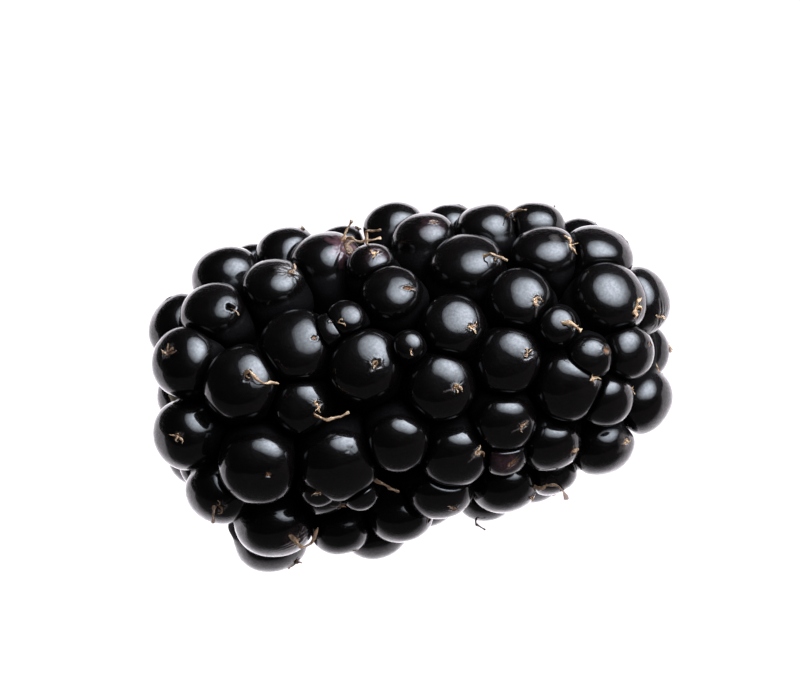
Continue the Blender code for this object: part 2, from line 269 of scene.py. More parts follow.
camera_data = bpy.data.cameras.new("camera")
camera_data.lens = LENS
camera_data.sensor_width = 36.0
camera_data.clip_start = 0.01
camera_data.clip_end = 10.0
camera = bpy.data.objects.new("camera", camera_data)
bpy.context.scene.collection.objects.link(camera)
heart = Vector((centring[0], centring[1], axis_height))
aim = heart - VIEW_RIGHT * 0.78 + VIEW_UP * 1.65
camera.rotation_euler = Matrix((VIEW_RIGHT, VIEW_UP, VIEW_BACK)).transposed().to_euler()
camera.location = (aim + VIEW_BACK * FRAME_WIDTH * LENS / 36.0) * MM
bpy.context.scene.camera = camera
print("camera stands off, mm:", round(FRAME_WIDTH * LENS / 36.0))

# %% Helpers for objects and nodes
def new_object(name, vertices, faces):
    mesh = bpy.data.meshes.new(name)
    mesh.from_pydata([tuple(v) for v in vertices], [], faces)
    mesh.validate()
    mesh.update()
    thing = bpy.data.objects.new(name, mesh)
    bpy.context.scene.collection.objects.link(thing)
    return thing


def new_material(name):
    material = bpy.data.materials.new(name)
    material.use_nodes = True
    return material, material.node_tree, material.node_tree.nodes["Principled BSDF"]


def add(tree, kind, **settings):
    node = tree.nodes.new(kind)
    for key, value in settings.items():
        setattr(node, key, value)
    return node


def set_values(node, **values):
    for key, value in values.items():
        node.inputs[key.replace("_", " ")].default_value = value


def glow_by_ray(tree, colour, usual, mirrored, seen):
    """An emission whose strength differs for diffuse rays, for reflections and for the camera."""
    glow = add(tree, "ShaderNodeEmission")
    glow.inputs["Color"].default_value = (*colour, 1.0)
    ray = add(tree, "ShaderNodeLightPath")
    strength = usual
    for kind, level in (("Is Glossy Ray", mirrored), ("Is Camera Ray", seen)):
        step = add(tree, "ShaderNodeMix", data_type="FLOAT")
        tree.links.new(ray.outputs[kind], step.inputs["Factor"])
        for socket, value in ((step.inputs["A"], strength), (step.inputs["B"], level)):
            if isinstance(value, float):
                socket.default_value = value
            else:
                tree.links.new(value, socket)
        strength = step.outputs["Result"]
    tree.links.new(strength, glow.inputs["Strength"])
    return glow.outputs["Emission"]


print("helpers are ready")

# %% Floor and surroundings
FLOOR_RADIUS = 3.0
FLOOR_SIDES = 96
floor_ring = [2.0 * math.pi * step / FLOOR_SIDES for step in range(FLOOR_SIDES)]
floor = new_object(
    "floor",
    [(FLOOR_RADIUS * math.cos(turn), FLOOR_RADIUS * math.sin(turn), -0.00002) for turn in floor_ring],
    [tuple(range(FLOOR_SIDES))],
)

floor_paint = bpy.data.materials.new("white_table")
floor_paint.use_nodes = True
tree = floor_paint.node_tree
tree.nodes.clear()
output = add(tree, "ShaderNodeOutputMaterial")
place = add(tree, "ShaderNodeSeparateXYZ")
tree.links.new(add(tree, "ShaderNodeTexCoord").outputs["Object"], place.inputs["Vector"])
card_edge = add(tree, "ShaderNodeMapRange", interpolation_type="SMOOTHSTEP")
set_values(card_edge, From_Min=-0.0125, From_Max=-0.0055, To_Min=0.15, To_Max=2.5)
tree.links.new(place.outputs["Y"], card_edge.inputs["Value"])
mirrored = card_edge.outputs["Result"]
tree.links.new(glow_by_ray(tree, (0.98, 0.93, 1.0), 0.5, mirrored, 1.3), output.inputs["Surface"])
floor.data.materials.append(floor_paint)

world = bpy.data.worlds.new("studio")
bpy.context.scene.world = world
world.use_nodes = True
tree = world.node_tree
tree.nodes.clear()
output = add(tree, "ShaderNodeOutputWorld")
tree.links.new(glow_by_ray(tree, (0.92, 0.95, 1.0), 0.1, 0.035, 1.3), output.inputs["Surface"])
bpy.context.scene.view_settings.view_transform = "Standard"
print("floor and room are ready")

# %% Softbox
# The gloss of a dark fruit needs a far brighter lamp than its dry threads do, so the softbox is two lamps
# in one place: the first, a stack of discs, is only seen in reflections, and the second only lights dull
# surfaces.
SOFTBOX_WAY = (VIEW_RIGHT * 0.50 + VIEW_UP * 0.66 + VIEW_BACK * 0.56).normalized()
SOFTBOX_DISTANCE = 0.12
SOFTBOX_COLOUR = (0.81, 0.885, 1.0)


def softbox(name, spread, radiance):
    """A disc whose width is given as a share of its distance."""
    width = spread * SOFTBOX_DISTANCE
    data = bpy.data.lights.new(name, "AREA")
    data.shape = "DISK"
    data.size = width
    data.energy = radiance * math.pi ** 2 * (width / 2) ** 2
    data.color = SOFTBOX_COLOUR
    lamp = bpy.data.objects.new(name, data)
    lamp.location = heart * MM + SOFTBOX_WAY * SOFTBOX_DISTANCE
    lamp.rotation_euler = SOFTBOX_WAY.to_track_quat("Z", "X").to_euler()
    bpy.context.scene.collection.objects.link(lamp)
    return lamp


# Each wider disc sits a little further to the lower left, so the light is brightest at the upper right.
GLOSS_SPREADS = np.linspace(0.34, 1.30, 10)
GLOSS_RADIANCE = 3.1
FADE_WAY = -VIEW_RIGHT * 0.30 - VIEW_UP * 0.20
for number, spread in enumerate(GLOSS_SPREADS, start=1):
    disc = softbox(f"softbox_{number}", spread, GLOSS_RADIANCE)
    disc.location += FADE_WAY * (spread - GLOSS_SPREADS[0]) * SOFTBOX_DISTANCE
    disc.visible_diffuse = False
softbox("softbox_fill", 1.2, 6.0).visible_glossy = False
print("softbox stands off, m:", SOFTBOX_DISTANCE)

# %% [markdown]
# ## The skin
# Ripe skin is nearly black, and it is glossy like wet paint. Up close the gloss is not perfect: the cells
# under it pucker the skin like orange peel, so a patch of light breaks into fine grains. A plain colour with
# low roughness would look like glass beads. So the finish has a thin clear coat over a duller skin, a colour
# that shifts a little from place to place, and a fine bump that roughens the reflection.

# %% Skin pucker, a group that every finish here uses
pucker = bpy.data.node_groups.new("skin_pucker", "ShaderNodeTree")
pucker.interface.new_socket("Cell Scale", in_out="INPUT", socket_type="NodeSocketFloat")
pucker.interface.new_socket("Blotch Scale", in_out="INPUT", socket_type="NodeSocketFloat")
pucker.interface.new_socket("Height", in_out="OUTPUT", socket_type="NodeSocketFloat")
pucker.interface.new_socket("Blotch", in_out="OUTPUT", socket_type="NodeSocketFloat")
group_in = add(pucker, "NodeGroupInput")
group_out = add(pucker, "NodeGroupOutput")
where = add(pucker, "ShaderNodeTexCoord")
cells = add(pucker, "ShaderNodeTexNoise")
set_values(cells, Detail=2.0, Roughness=0.6)
blotch = add(pucker, "ShaderNodeTexNoise")
set_values(blotch, Detail=3.0)
for texture, scale in ((cells, "Cell Scale"), (blotch, "Blotch Scale")):
    pucker.links.new(where.outputs["Object"], texture.inputs["Vector"])
    pucker.links.new(group_in.outputs[scale], texture.inputs["Scale"])
pucker.links.new(cells.outputs["Fac"], group_out.inputs["Height"])
pucker.links.new(blotch.outputs["Fac"], group_out.inputs["Blotch"])
print("group:", pucker.name)

# %% Mixing by mask
def mixed(tree, factor, low, high):
    """A colour that goes from low to high as the factor socket goes from 0 to 1."""
    blend = add(tree, "ShaderNodeMix", data_type="RGBA")
    for socket, colour in ((blend.inputs["A"], low), (blend.inputs["B"], high)):
        if isinstance(colour, tuple):
            socket.default_value = (*colour, 1.0)
        else:
            tree.links.new(colour, socket)
    tree.links.new(factor, blend.inputs["Factor"])
    return blend.outputs["Result"]


def ranged(tree, value, from_low, from_high, low, high):
    spread = add(tree, "ShaderNodeMapRange")
    set_values(spread, From_Min=from_low, From_Max=from_high, To_Min=low, To_Max=high)
    tree.links.new(value, spread.inputs["Value"])
    return spread.outputs["Result"]


def mask(tree, name):
    return add(tree, "ShaderNodeAttribute", attribute_name=name).outputs["Fac"]


def placed_pucker(tree, cell_scale, blotch_scale):
    node = add(tree, "ShaderNodeGroup", node_tree=pucker)
    set_values(node, Cell_Scale=cell_scale, Blotch_Scale=blotch_scale)
    return node.outputs["Height"], node.outputs["Blotch"]


def bumped(tree, shader, height, distance):
    bump = add(tree, "ShaderNodeBump")
    set_values(bump, Strength=1.0, Distance=distance)
    tree.links.new(height, bump.inputs["Height"])
    tree.links.new(bump.outputs["Normal"], shader.inputs["Normal"])


print("mixers are ready")

# %% Ripe skin
COAT_IOR = 1.38
SKIN_IOR = 1.10


def ripe_skin():
    material, tree, shader = new_material("ripe_skin")
    height, blotch = placed_pucker(tree, 6000.0, 1100.0)
    flesh = mixed(tree, blotch, (0.0012, 0.0009, 0.0010), (0.0042, 0.0028, 0.0026))
    crease_painted_shade = mask(tree, "crease_painted_shade")
    unripe = mixed(tree, mask(tree, "unripe"), flesh, (0.17, 0.075, 0.09))
    pale = mixed(tree, mask(tree, "pale"), unripe, (0.34, 0.29, 0.27))
    dry = mixed(tree, mask(tree, "dry"), pale, (0.34, 0.17, 0.085))
    # Painted shade: where the crease mask is on, in the creases between drupelets and inside deep scars, the
    # colour goes near-black.
    painted_shade_colour = mixed(tree, crease_painted_shade, dry, (0.0005, 0.0003, 0.0004))
    tree.links.new(painted_shade_colour, shader.inputs["Base Color"])
    scuffed = add(tree, "ShaderNodeMath", operation="MAXIMUM")
    tree.links.new(mask(tree, "dry"), scuffed.inputs[0])
    tree.links.new(mask(tree, "pale"), scuffed.inputs[1])
    # The crease shade mask also dulls the skin and drops its clear coat there, together with the real dry and
    # pale wear.
    wear_and_crease_shade = add(tree, "ShaderNodeMath", operation="MAXIMUM")
    tree.links.new(scuffed.outputs["Value"], wear_and_crease_shade.inputs[0])
    tree.links.new(crease_painted_shade, wear_and_crease_shade.inputs[1])
    matt = add(tree, "ShaderNodeMix", data_type="FLOAT")
    tree.links.new(wear_and_crease_shade.outputs["Value"], matt.inputs["Factor"])
    tree.links.new(ranged(tree, blotch, 0.3, 0.7, 0.30, 0.42), matt.inputs["A"])
    matt.inputs["B"].default_value = 0.75
    tree.links.new(matt.outputs["Result"], shader.inputs["Roughness"])
    gloss = add(tree, "ShaderNodeMix", data_type="FLOAT")
    tree.links.new(wear_and_crease_shade.outputs["Value"], gloss.inputs["Factor"])
    tree.links.new(ranged(tree, height, 0.35, 0.65, 0.70, 1.0), gloss.inputs["A"])
    gloss.inputs["B"].default_value = 0.0
    tree.links.new(gloss.outputs["Result"], shader.inputs["Coat Weight"])
    shader.inputs["Coat Roughness"].default_value = 0.10
    shader.inputs["Coat IOR"].default_value = COAT_IOR
    shader.inputs["IOR"].default_value = SKIN_IOR
    bumped(tree, shader, height, 0.000028)
    return material


skin = ripe_skin()
print("finish:", skin.name)

# %% [markdown]
# The withered threads and crumbs are dead plant fibre: straw where they are thin and bleached, dark brown
# where they rotted a little. One dry finish makes them all, and a "tone" value stored on each piece says how
# dark it is.

# %% Dry fibre and pith
PITH_IOR = 1.12


def dry_fibre():
    material, tree, shader = new_material("dry_fibre")
    height, blotch = placed_pucker(tree, 14000.0, 2600.0)
    dark = mixed(tree, mask(tree, "tone"), (0.035, 0.016, 0.009), (0.40, 0.19, 0.075))
    light = mixed(tree, mask(tree, "tone"), (0.14, 0.06, 0.028), (0.95, 0.64, 0.34))
    colour = mixed(tree, ranged(tree, blotch, 0.36, 0.62, 0.0, 1.0), dark, light)
    tree.links.new(colour, shader.inputs["Base Color"])
    tree.links.new(ranged(tree, blotch, 0.3, 0.7, 0.45, 0.7), shader.inputs["Roughness"])
    bumped(tree, shader, height, 0.000025)
    return material


def pale_pith():
    material, tree, shader = new_material("pale_pith")
    height, blotch = placed_pucker(tree, 4200.0, 1500.0)
    fresh = mixed(tree, blotch, (0.42, 0.37, 0.22), (0.66, 0.62, 0.44))
    # Painted shade: deeper than the picked end, the receptacle sits under the drupelets, and its colour is
    # made near-black there.
    dark = mixed(tree, mask(tree, "core_painted_shade"), fresh, (0.0012, 0.0008, 0.0012))
    tree.links.new(dark, shader.inputs["Base Color"])
    tree.links.new(ranged(tree, blotch, 0.3, 0.7, 0.55, 0.8), shader.inputs["Roughness"])
    shader.inputs["IOR"].default_value = PITH_IOR
    bumped(tree, shader, height, 0.00004)
    return material


fibre = dry_fibre()
pith = pale_pith()
print("finishes:", fibre.name, pith.name)

# %% [markdown]
# ## A drupelet
# A drupelet is a low dome with round shoulders. Where it meets its neighbours it is pressed flat, as soap
# bubbles are. A sphere with a flattening modifier would give every one the same look, so each dome is worked
# out direction by direction: how far does the skin reach before it meets the next drupelet? The grid of
# directions has its pole at the scar of the style, so the finest faces are where the finest shapes are.

# %% Frames and directions
ROUNDNESS = 2.15
BELLY = 1.06
FLAT_CROWN = 0.76
PLUMP_CROWN = 1.0
FINE_GRID = (60, 96)
PLAIN_GRID = (40, 64)
POLE_CROWDING = 1.6


def unit(v):
    return v / np.linalg.norm(v)


def tangents(out):
    """Two directions across out: the first points back along the fruit."""
    back = unit(np.array((-1.0, 0.0, 0.0)) + out * out[0])
    return back, np.cross(out, back)


def leaning(out, lean, turn):
    """out, leaned by so many degrees: towards the tip at turn 0, towards the side at 90."""
    back, side = tangents(out)
    lean, turn = math.radians(lean), math.radians(turn)
    return out * math.cos(lean) + (-back * math.cos(turn) - side * math.sin(turn)) * math.sin(lean)


def way_from(apex, angle, turn):
    """Directions at an angle from the apex and a turn round it, both in radians."""
    first, second = tangents(apex)
    angle, turn = np.asarray(angle)[..., None], np.asarray(turn)[..., None]
    return np.cos(angle) * apex + np.sin(angle) * (np.cos(turn) * first + np.sin(turn) * second)


def direction_grid(grid):
    rings, spokes = grid
    angles = math.pi * np.linspace(0.0, 1.0, rings + 1) ** POLE_CROWDING
    turns = np.linspace(0.0, 2.0 * math.pi, spokes, endpoint=False)
    return np.meshgrid(angles, turns, indexing="ij")


print("faces on a well-seen drupelet:", FINE_GRID[0] * FINE_GRID[1])

# %% How far the skin reaches
SEAM = 0.03
PRESS = 14.0
SKIRT = 0.2
ROOT = 1.5
ROOT_LEAST = 3.2


def neighbours_of(number):
    """(direction, distance to the seam) for each drupelet near enough to press this one."""
    seams = []
    for other in range(len(middles)):
        away = middles[other] - middles[number]
        gap = np.linalg.norm(away)
        if other != number and gap < 1.9 * (radii[other] + radii[number]):
            seam = gap / 2 + (radii[number] ** 2 - radii[other] ** 2) / (2 * gap)
            seams.append((away / gap, max(seam - SEAM, 0.3)))
    return seams


def plumpness(out):
    """0 for a drupelet at the front, and up to 1 for one at the ends, at the back or underneath."""
    return min(max(-1.4 * out[2], 1.4 * out[1], 1.2 * abs(out[0]), 0.0), 1.0)


def free_reach(number, ways):
    """The reach of a drupelet that nothing presses: a dome whose lower half swells to fill the gaps."""
    along = ways @ outs[number]
    across = np.sqrt(np.maximum(1.0 - along ** 2, 0.0)) / BELLY
    crown = FLAT_CROWN + (PLUMP_CROWN - FLAT_CROWN) * plumpness(outs[number])
    dome = (across ** ROUNDNESS + (np.maximum(along, 0.0) / crown) ** ROUNDNESS) ** (1.0 / ROUNDNESS)
    sink = np.clip(-along / 0.45, 0.0, 1.0)
    skirt = 1.0 + SKIRT * sink * sink * (3.0 - 2.0 * sink)
    root = max(ROOT, ROOT_LEAST / radii[number])
    stem = ((across / skirt) ** 3 + (np.abs(along) / root) ** 3) ** (1.0 / 3.0)
    return radii[number] / np.where(along > 0.0, dome, stem)


def pressed_reach(number, ways):
    tightness = free_reach(number, ways) ** -PRESS
    for way, seam in neighbours_of(number):
        facing = np.maximum(ways @ way, 0.02)
        tightness = tightness + (seam / facing) ** -PRESS
    return tightness ** (-1.0 / PRESS)


def noisy(points, pitch, seed=0.0):
    """Smooth noise, about -1 to 1, with one swell every pitch millimetres."""
    flat = np.asarray(points).reshape(-1, 3) / pitch + seed
    return np.array([noise.noise(Vector(p)) for p in flat]).reshape(np.shape(points)[:-1])


print("drupelet 20 is pressed by", len(neighbours_of(20)), "neighbours")

# %% [markdown]
# The scar is where the style was. No two are alike: some are pits, some are craters with a puckered rim, some
# are slits like an almond, and many still carry a crumb of the dry style. Each kind is a few numbers, and a
# formula turns them into a dent, a rim and puckers.

# %% Kinds of scar
Kind = namedtuple("Kind", "depth width rim stretch puckers dry pale tail crumbs")
KINDS = {
    "speck": Kind(0.05, 0.13, 0.015, 1.3, 0.006, 0.10, 0.0, 0.0, 0),
    "smooth": Kind(0.03, 0.30, 0.0, 1.0, 0.0, 0.0, 0.0, 0.0, 0),
    "pit": Kind(0.34, 0.23, 0.02, 1.5, 0.005, 0.0, 0.10, 0.0, 1),
    "crater": Kind(0.20, 0.30, 0.05, 1.35, 0.005, 0.12, 0.40, 0.0, 3),
    "almond": Kind(0.10, 0.15, 0.025, 2.3, 0.006, 0.17, 0.15, 0.0, 0),
    "flake": Kind(0.05, 0.16, 0.01, 1.5, 0.006, 0.0, 0.0, 0.0, 2),
    "tuft": Kind(0.11, 0.19, 0.03, 1.4, 0.005, 0.14, 0.35, 0.0, 4),
    "tail": Kind(0.12, 0.20, 0.03, 1.5, 0.008, 0.15, 0.45, 1.1, 4),
    "folds": Kind(0.06, 0.22, 0.02, 1.6, 0.008, 0.06, 0.35, 0.0, 2),
}
print("kinds of scar:", ", ".join(KINDS))

# %% Where each scar is
# Drupelet: (kind, degrees that the scar leans from the crown, turn towards the side, slant, size).
SCARS = {
    1: ("tuft", 5, -35, 40, 1.2), 2: ("tuft", 40, 16, 10, 0.8), 3: ("folds", 43, 39, 15, 1.0),
    5: ("smooth", 40, 0, 0, 1.0), 6: ("pit", 65, -41, -20, 1.0), 7: ("pit", 25, 6, 60, 1.0),
    8: ("speck", 27, 25, 0, 1.7), 9: ("folds", 50, 42, 10, 1.3), 10: ("tuft", 44, 36, 0, 1.0),
    12: ("folds", 52, -25, -25, 1.5), 13: ("speck", 42, -15, 0, 1.4), 14: ("tuft", 48, 0, 10, 1.0),
    15: ("tuft", 37, 99, 30, 0.7), 18: ("folds", 58, -40, 70, 1.6), 19: ("flake", 46, -126, 60, 1.0),
    20: ("crater", 29, -22, 30, 1.0), 21: ("smooth", 60, 60, 0, 1.0), 22: ("smooth", 40, 20, 0, 1.0),
    23: ("tuft", 26, -36, 20, 1.2), 24: ("almond", 51, -27, -10, 1.3), 25: ("flake", 41, -83, -10, 0.8),
    26: ("smooth", 60, 20, 0, 1.0), 27: ("tuft", 64, 24, 20, 0.8), 29: ("speck", 67, -36, 0, 1.0),
    30: ("almond", 43, -60, 0, 1.0), 31: ("tail", 44, -32, -3, 1.0), 32: ("tail", 29, -8, 4, 1.0),
    33: ("tail", 54, 34, 40, 1.0), 34: ("tuft", 21, 50, 0, 0.9), 35: ("speck", 33, -38, 0, 1.0),
    36: ("crater", 66, -28, 0, 0.6), 37: ("tail", 45, -43, 75, 1.1), 38: ("crater", 42, 9, 60, 0.8),
    39: ("tail", 39, 14, 15, 1.0), 40: ("almond", 22, 55, 30, 1.5), 43: ("folds", 62, -10, 60, 1.0),
    44: ("tuft", 59, -16, 60, 1.2), 45: ("pit", 60, -22, 20, 0.6), 46: ("tuft", 49, 18, 80, 1.0),
    47: ("tuft", 43, 12, 60, 0.9), 50: ("almond", 40, 20, 0, 1.2), 51: ("tuft", 46, -55, 80, 1.3),
    52: ("speck", 52, 21, 0, 1.6), 53: ("tuft", 84, 9, 80, 0.8), 54: ("tuft", 69, 40, 60, 1.0),
    56: ("folds", 58, -68, 60, 1.2), 57: ("speck", 40, 20, 0, 1.0), 58: ("folds", 90, 0, 90, 1.0),
    61: ("smooth", 40, 0, 0, 1.0),
}
USUAL_LEAN = 32.0
COMMON_KINDS = ("speck", "tuft", "folds", "speck", "tail", "pit", "smooth", "tuft", "almond")


def scar_of(number):
    """The scar listed in SCARS, or else one picked by the drupelet's number."""
    if number in SCARS:
        return SCARS[number]
    kind = COMMON_KINDS[(number * 5) % len(COMMON_KINDS)]
    lean = USUAL_LEAN + 14.0 * math.sin(3.1 * number)
    return kind, lean, 30.0 * math.sin(1.7 * number), 70.0 * math.sin(2.3 * number), 0.9


print("scars set by hand:", len(SCARS))

# %% The shape and colour of a scar
def scar_shape(number, distance, turn):
    """Relief in millimetres, and the dry and pale masks, at a distance from the scar and a turn round it."""
    name, _, _, slant, size = scar_of(number)
    kind = KINDS[name]
    facing = turn - math.radians(slant)
    along, aside = distance * np.cos(facing) / size, distance * np.sin(facing) / size
    ring = np.stack((np.cos(turn), np.sin(turn), np.full_like(turn, number * 3.7)), axis=-1)
    uneven = noisy(ring, 0.8)
    grain = noisy(ring * np.stack((distance,) * 2 + (np.ones_like(distance),), axis=-1), 0.09)
    spread = np.hypot(along / math.sqrt(kind.stretch), aside * math.sqrt(kind.stretch)) * (1.0 + 0.5 * uneven)
    relief = -kind.depth * np.exp(-((spread / kind.width) ** 3))
    relief += kind.rim * np.exp(-(((spread - 1.5 * kind.width) / (0.45 * kind.width)) ** 2)) * (1.0 + uneven)
    collar = np.exp(-(((spread / (2.0 * kind.width) - 1.0) / 0.5) ** 2))
    puckers = noisy(ring * np.array((1.0, 1.0, 0.7)), 0.16) * 1.6 * collar
    relief += kind.puckers * puckers
    if name == "folds":
        ripples = 0.02 * np.sin(aside * 26.0 + 4.0 * uneven)
        relief += ripples * np.exp(-((along / 0.8) ** 2) - (aside / 0.35) ** 4)
    dry = np.exp(-((spread / max(kind.dry, 0.01)) ** 4)) * (0.8 + 0.5 * grain) * (kind.dry > 0.0)
    halo = np.exp(-(((spread - 1.35 * kind.width) / (0.5 * kind.width)) ** 2))
    pale = kind.pale * halo * np.clip(0.35 + 1.6 * grain + 0.6 * puckers, 0.0, 1.3)
    if kind.tail:
        streak = np.exp(-(((aside + 0.05 * uneven) / 0.055) ** 2)) * (along > 0.0) * (along < kind.tail)
        pale = pale + 0.75 * streak * np.clip(0.7 + grain, 0.2, 1.0) * (1.0 - along / kind.tail) ** 0.5
    # Painted shade: the inside of a deep pit or crater is marked for near-black colour.
    pit_painted_shade = np.exp(-((spread / kind.width) ** 4)) * (kind.depth > 0.15)
    return relief * size, dry, pale, pit_painted_shade


print("a pit is", KINDS["pit"].depth, "mm deep")

# %% Bruises and shrivelled patches
# Drupelet, lean, turn, reach across in millimetres, mask, strength.
PATCHES = (
    (18, 57, -38, 1.4, "unripe", 1.0), (40, 14, 110, 1.3, "unripe", 0.3), (54, 66, 44, 0.7, "pale", 0.35),
    (52, 56, 19, 0.35, "dry", 0.4), (44, 27, -36, 0.5, "pale", 0.25), (12, 45, -32, 0.9, "pale", 0.3),
    (56, 54, -69, 0.7, "pale", 0.12), (30, 48, -68, 1.0, "unripe", 0.15), (7, 25, 12, 0.5, "pale", 0.3),
    (23, 30, -36, 0.9, "unripe", 0.35), (17, 20, 0, 1.2, "unripe", 0.4), (9, 50, 42, 1.1, "unripe", 0.15),
)
WRINKLE = 0.045


def patch_values(number, points, ways):
    """The masks of a drupelet's bruises, and how deeply their skin has shrivelled."""
    masks = {"dry": 0.0, "pale": 0.0, "unripe": 0.0}
    shrivel = 0.0
    for owner, lean, turn, size, name, strength in PATCHES:
        if owner != number:
            continue
        centre = leaning(outs[number], lean, turn)
        distance = np.arccos(np.clip(ways @ centre, -1.0, 1.0)) * radii[number] / size
        inside = np.clip(1.5 * (1.0 - distance) + 0.8 * noisy(points, 0.5), 0.0, 1.0)
        masks[name] = masks[name] + strength * inside * (0.75 + 0.5 * noisy(points, 0.12))
        shrivel = shrivel - WRINKLE * strength * inside * np.abs(noisy(points, 0.42)) ** 0.5
    return masks, shrivel


print("patches:", len(PATCHES))

# %% The skin of one drupelet
# Below its shoulder the skin carries painted shade, near-black and dull: the painted-shade mask runs from
# this share of the crown down.
CREASE_TOP = 0.12
CREASE_DEPTH = 0.25


def skin_of(number, angle, turn):
    """Points on the skin at an angle and turn from the scar, with the masks of the finish there."""
    _, lean, turn_from_tip, _, _ = scar_of(number)
    ways = way_from(leaning(outs[number], lean, turn_from_tip), angle, turn)
    reach = pressed_reach(number, ways)
    points = middles[number] + ways * reach[..., None]
    reach = reach + 0.075 * noisy(points, 2.9) + 0.014 * noisy(points, 0.9, 5.0)
    reach = reach + 0.004 * noisy(points, 0.4, 9.0)
    relief, dry, pale, pit_painted_shade = scar_shape(number, angle * radii[number], turn)
    masks, shrivel = patch_values(number, points, ways)
    masks["dry"] = masks["dry"] + dry
    masks["pale"] = masks["pale"] + pale
    # Painted shade mask: below the shoulder and inside deep scars.
    masks["crease_painted_shade"] = np.maximum(np.clip((CREASE_TOP - ways @ outs[number]) / CREASE_DEPTH, 0.0, 1.0), pit_painted_shade)
    points = middles[number] + ways * (reach + relief + shrivel)[..., None]
    return points, ways, masks


print("skin of drupelet 0 starts at, mm:", skin_of(0, np.zeros((1, 1)), np.zeros((1, 1)))[0][0, 0].round(2))

# %% Closed skins from grids
def grid_faces(rings, spokes):
    faces = []
    for ring in range(rings - 1):
        for spoke in range(spokes):
            after = (spoke + 1) % spokes
            low, high = ring * spokes, (ring + 1) * spokes
            faces.append((low + spoke, high + spoke, high + after, low + after))
    return faces


def capped_grid(grid):
    """Vertices and faces of a closed skin from a grid whose first and last rings are each one point."""
    rings, spokes = grid.shape[:2]
    vertices = np.vstack((grid[1:-1].reshape(-1, 3), grid[0, 0], grid[-1, 0]))
    faces = grid_faces(rings - 2, spokes)
    first, last, base = len(vertices) - 2, len(vertices) - 1, (rings - 3) * spokes
    for spoke in range(spokes):
        after = (spoke + 1) % spokes
        faces.append((first, spoke, after))
        faces.append((last, base + after, base + spoke))
    return vertices, faces


def add_mask(thing, name, values):
    attribute = thing.data.attributes.new(name, "FLOAT", "POINT")
    attribute.data.foreach_set("value", np.clip(values, 0.0, 1.0).astype(np.float32))


def on_grid(values, shape):
    """Values in the order of capped_grid's vertices."""
    values = np.broadcast_to(values, shape)
    return np.concatenate((values[1:-1].ravel(), (values[0, 0], values[-1, 0])))


def settle(thing, material, slot, *replaced):
    """Gives a finished piece its finish, and its place in the part."""
    thing.data.shade_smooth()
    thing.data.materials.append(material)
    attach(thing, "root")
    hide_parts(*replaced)
    return thing


print("grid tools are ready")

# %% Make the drupelets
def make_drupelet(number):
    angle, turn = direction_grid(FINE_GRID if number < len(PLANTED) else PLAIN_GRID)
    points, _, masks = skin_of(number, angle, turn)
    points[..., 2] = np.maximum(points[..., 2], 0.0)
    vertices, faces = capped_grid(points)
    thing = new_object(f"drupelet_{number + 1:03d}", vertices * MM, faces)
    for name, values in masks.items():
        add_mask(thing, name, on_grid(values, angle.shape))
    return settle(thing, skin, "skin", "berry")


drupelets = [make_drupelet(number) for number in range(len(middles))]
print("drupelets made:", len(drupelets))

# %% [markdown]
# ## The receptacle
# The receptacle is the fleshy heart that stays inside the fruit. It shows only at the picked end, as the
# round, dished face where the stalk came away. It is a turned shape, roughened where it was torn.

# %% Receptacle
CORE_GAP = 2.4
PLUG_RADIUS = 2.3
PLUG_END = -15.6
PLUG_DEEP = 2.2
CORE_SPOKES = 96


def core_profile():
    """Station and radius, from the middle of the dish to the tip."""
    profile = [(PLUG_END + 0.4 - 0.32 * (r / 1.9) ** 2, r) for r in np.linspace(0.0, 1.9, 12)]
    profile += [(PLUG_END, 2.05), (PLUG_END + 0.05, 2.18), (PLUG_END + 0.2, PLUG_RADIUS)]
    profile += [(PLUG_END + depth, PLUG_RADIUS) for depth in (0.6, 1.1, 1.7, PLUG_DEEP)]
    half = SHELL_HALF - CORE_GAP
    for station in np.linspace(-half + 0.5, half, 24)[:-1]:
        profile.append((station, max(shell_ring(station) - CORE_GAP, 1.0)))
    return profile + [(half, 0.0)]


def turned(profile, spokes):
    turns = np.linspace(0.0, 2.0 * math.pi, spokes, endpoint=False)
    stations, reaches = np.array(profile).T
    grid = np.empty((len(profile), spokes, 3))
    grid[..., 0] = stations[:, None]
    grid[..., 1] = reaches[:, None] * np.cos(turns)
    grid[..., 2] = reaches[:, None] * np.sin(turns)
    return grid


core_grid = turned(core_profile(), CORE_SPOKES)
torn = 0.14 * noisy(core_grid, 0.7) + 0.06 * noisy(core_grid, 0.22)
torn[0] = torn[0, 0]
torn[-1] = torn[-1, 0]
core_grid[..., 0] += np.where(core_grid[..., 0] < PLUG_END + PLUG_DEEP, torn, 0.0)
# Painted shade mask: 0 up to half a millimetre inside the picked end, and 1 from 1.3 mm in.
core_painted_shade = on_grid(np.clip((core_grid[..., 0] - PLUG_END - 0.5) / 0.8, 0.0, 1.0), core_grid.shape[:2])
core_vertices, core_faces = capped_grid(core_grid + centring + np.array((0.0, 0.0, axis_height)))
core = new_object("receptacle", core_vertices * MM, core_faces)
add_mask(core, "core_painted_shade", core_painted_shade)
settle(core, pith, "skin", "berry")
print("receptacle vertices:", len(core_vertices))

# %% [markdown]
# ## The withered styles
# A dry style is a thread no thicker than a hair brush's bristle: thick where it left the drupelet, thin in
# the middle, kinked where it dried, and often with a small club at its end. A curve with a round bevel would
# look like wire. So the tube is built ring by ring, and its section is flattened, ridged and twisted.

# %% A dried thread
THREAD_SIDES = 12


def through(before, start, end, after, t):
    """A point of the smooth curve from start to end, at t from 0 to 1."""
    return 0.5 * (
        2.0 * start
        + (end - before) * t
        + (2.0 * before - 5.0 * start + 4.0 * end - after) * t ** 2
        + (3.0 * start - before - 3.0 * end + after) * t ** 3
    )


def smooth_path(knots, steps):
    padded = [knots[0], *knots, knots[-1]]
    path = []
    for before, start, end, after in zip(padded, padded[1:], padded[2:], padded[3:]):
        path += [through(before, start, end, after, step / steps) for step in range(steps)]
    return np.array([*path, knots[-1]])


